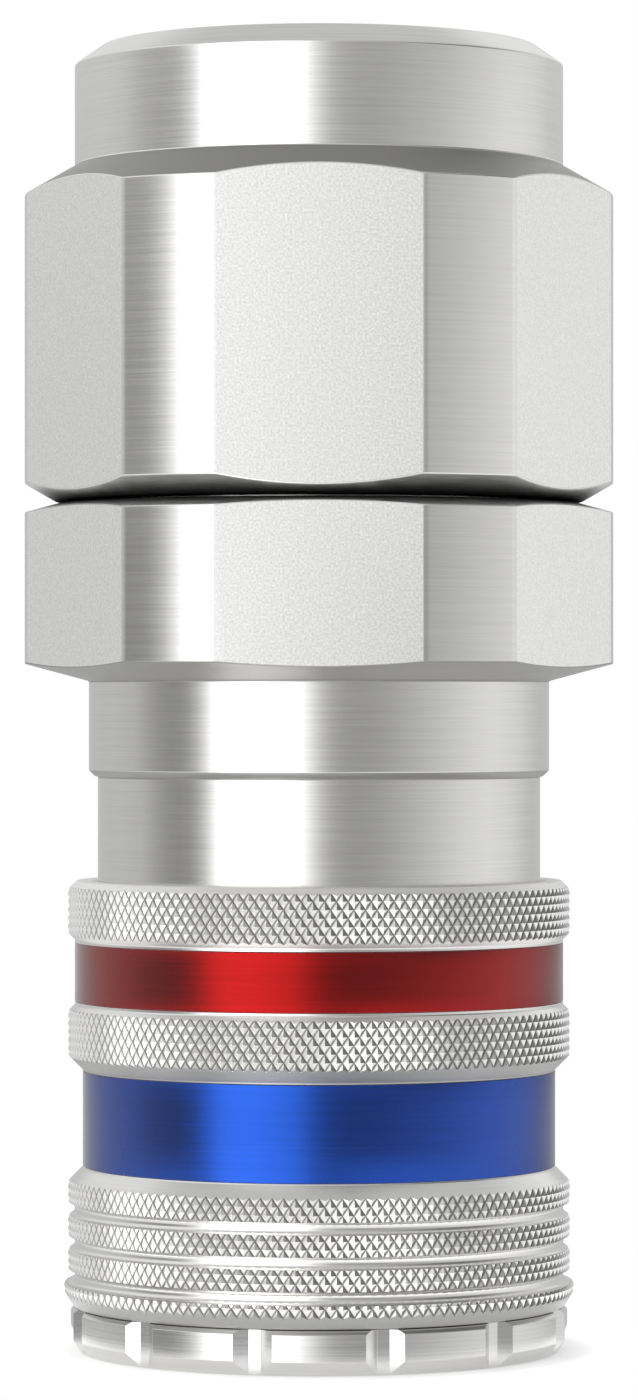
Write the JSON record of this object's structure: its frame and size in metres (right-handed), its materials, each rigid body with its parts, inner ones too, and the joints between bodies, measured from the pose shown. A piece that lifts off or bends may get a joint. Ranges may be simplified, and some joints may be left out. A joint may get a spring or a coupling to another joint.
{
  "type": "pneumatic quick coupling",
  "caption": "Ball-lock quick coupling for compressed air: a sprung knurled sleeve frees the nipple, a poppet valve shuts the air off, and a long hexagonal nut clamps the hose.",
  "frame": {"origin": "centre of the front ring's face, where the nipple enters and on which the coupling stands", "axes": "+Z along the coupling's axis towards the hose; a flat of both hexagons faces -Y"},
  "size_m": [0.034, 0.032, 0.0752],
  "materials": {
    "plated_steel": "satin bright plating over turned and drawn steel",
    "red_lacquer": "metallic red lacquer",
    "blue_lacquer": "metallic blue lacquer",
    "seal_rubber": "matt moulded",
    "valve_brass": "turned",
    "spring_steel": "drawn wire",
    "ball_steel": "polished",
    "clamp_polymer": "moulded"
  },
  "bodies": {
    "housing": {"valve_body": "plated_steel", "hose_adapter": "plated_steel", "front_ring": "plated_steel", "nipple_seal": "seal_rubber", "body_seal": "seal_rubber", "valve_guide": "valve_brass", "valve_spring": "spring_steel"},
    "spring": {"sleeve_spring": "spring_steel"},
    "sleeve": {"locking_sleeve": "plated_steel", "red_band": "red_lacquer", "blue_band": "blue_lacquer"},
    "valve": {"valve_poppet": "valve_brass", "valve_seal": "seal_rubber"},
    "ball_1": {"lock_ball_1": "ball_steel"},
    "ball_2": {"lock_ball_2": "ball_steel"},
    "ball_3": {"lock_ball_3": "ball_steel"},
    "ball_4": {"lock_ball_4": "ball_steel"},
    "ball_5": {"lock_ball_5": "ball_steel"},
    "ball_6": {"lock_ball_6": "ball_steel"},
    "ball_7": {"lock_ball_7": "ball_steel"},
    "ball_8": {"lock_ball_8": "ball_steel"},
    "clamp": {"clamp_ring": "clamp_polymer"},
    "nut": {"hose_nut": "plated_steel"}
  },
  "joints": [
    {"name": "sleeve_spin", "type": "hinge", "parent": "housing", "child": "spring", "pos_m": [0, 0, 0.018], "axis": [0, 0, 1], "continuous": true},
    {"name": "sleeve_slide", "type": "slide", "parent": "spring", "child": "sleeve", "axis": [0, 0, 1], "range_m": [0, 0.0055], "stiffness_N_per_m": 2000, "springref_m": -0.006, "deforming": ["sleeve_spring"]},
    {"name": "valve_slide", "type": "slide", "parent": "housing", "child": "valve", "axis": [0, 0, 1], "range_m": [0, 0.0045], "stiffness_N_per_m": 400, "springref_m": -0.006, "deforming": ["valve_spring"]},
    {"name": "ball_1_slide", "type": "slide", "parent": "housing", "child": "ball_1", "axis": [1, 0, 0], "range_m": [0, 0.001]},
    {"name": "ball_2_slide", "type": "slide", "parent": "housing", "child": "ball_2", "axis": [0.7071, 0.7071, 0], "range_m": [0, 0.001]},
    {"name": "ball_3_slide", "type": "slide", "parent": "housing", "child": "ball_3", "axis": [0, 1, 0], "range_m": [0, 0.001]},
    {"name": "ball_4_slide", "type": "slide", "parent": "housing", "child": "ball_4", "axis": [-0.7071, 0.7071, 0], "range_m": [0, 0.001]},
    {"name": "ball_5_slide", "type": "slide", "parent": "housing", "child": "ball_5", "axis": [-1, 0, 0], "range_m": [0, 0.001]},
    {"name": "ball_6_slide", "type": "slide", "parent": "housing", "child": "ball_6", "axis": [-0.7071, -0.7071, 0], "range_m": [0, 0.001]},
    {"name": "ball_7_slide", "type": "slide", "parent": "housing", "child": "ball_7", "axis": [0, -1, 0], "range_m": [0, 0.001]},
    {"name": "ball_8_slide", "type": "slide", "parent": "housing", "child": "ball_8", "axis": [0.7071, -0.7071, 0], "range_m": [0, 0.001]},
    {"name": "clamp_slide", "type": "slide", "parent": "housing", "child": "clamp", "axis": [0, 0, 1], "range_m": [0, 0.00901]},
    {"name": "nut_turn", "type": "hinge", "parent": "clamp", "child": "nut", "pos_m": [0, 0, 0.0617], "axis": [0, 0, 1], "range_deg": [0, 2160]}
  ],
  "couplings": [
    {"joint": "ball_1_slide", "follows": "sleeve_slide", "ratio": 0.18182},
    {"joint": "ball_2_slide", "follows": "sleeve_slide", "ratio": 0.18182},
    {"joint": "ball_3_slide", "follows": "sleeve_slide", "ratio": 0.18182},
    {"joint": "ball_4_slide", "follows": "sleeve_slide", "ratio": 0.18182},
    {"joint": "ball_5_slide", "follows": "sleeve_slide", "ratio": 0.18182},
    {"joint": "ball_6_slide", "follows": "sleeve_slide", "ratio": 0.18182},
    {"joint": "ball_7_slide", "follows": "sleeve_slide", "ratio": 0.18182},
    {"joint": "ball_8_slide", "follows": "sleeve_slide", "ratio": 0.18182},
    {"joint": "clamp_slide", "follows": "nut_turn", "m_per_rad": 0.00023873}
  ]
}
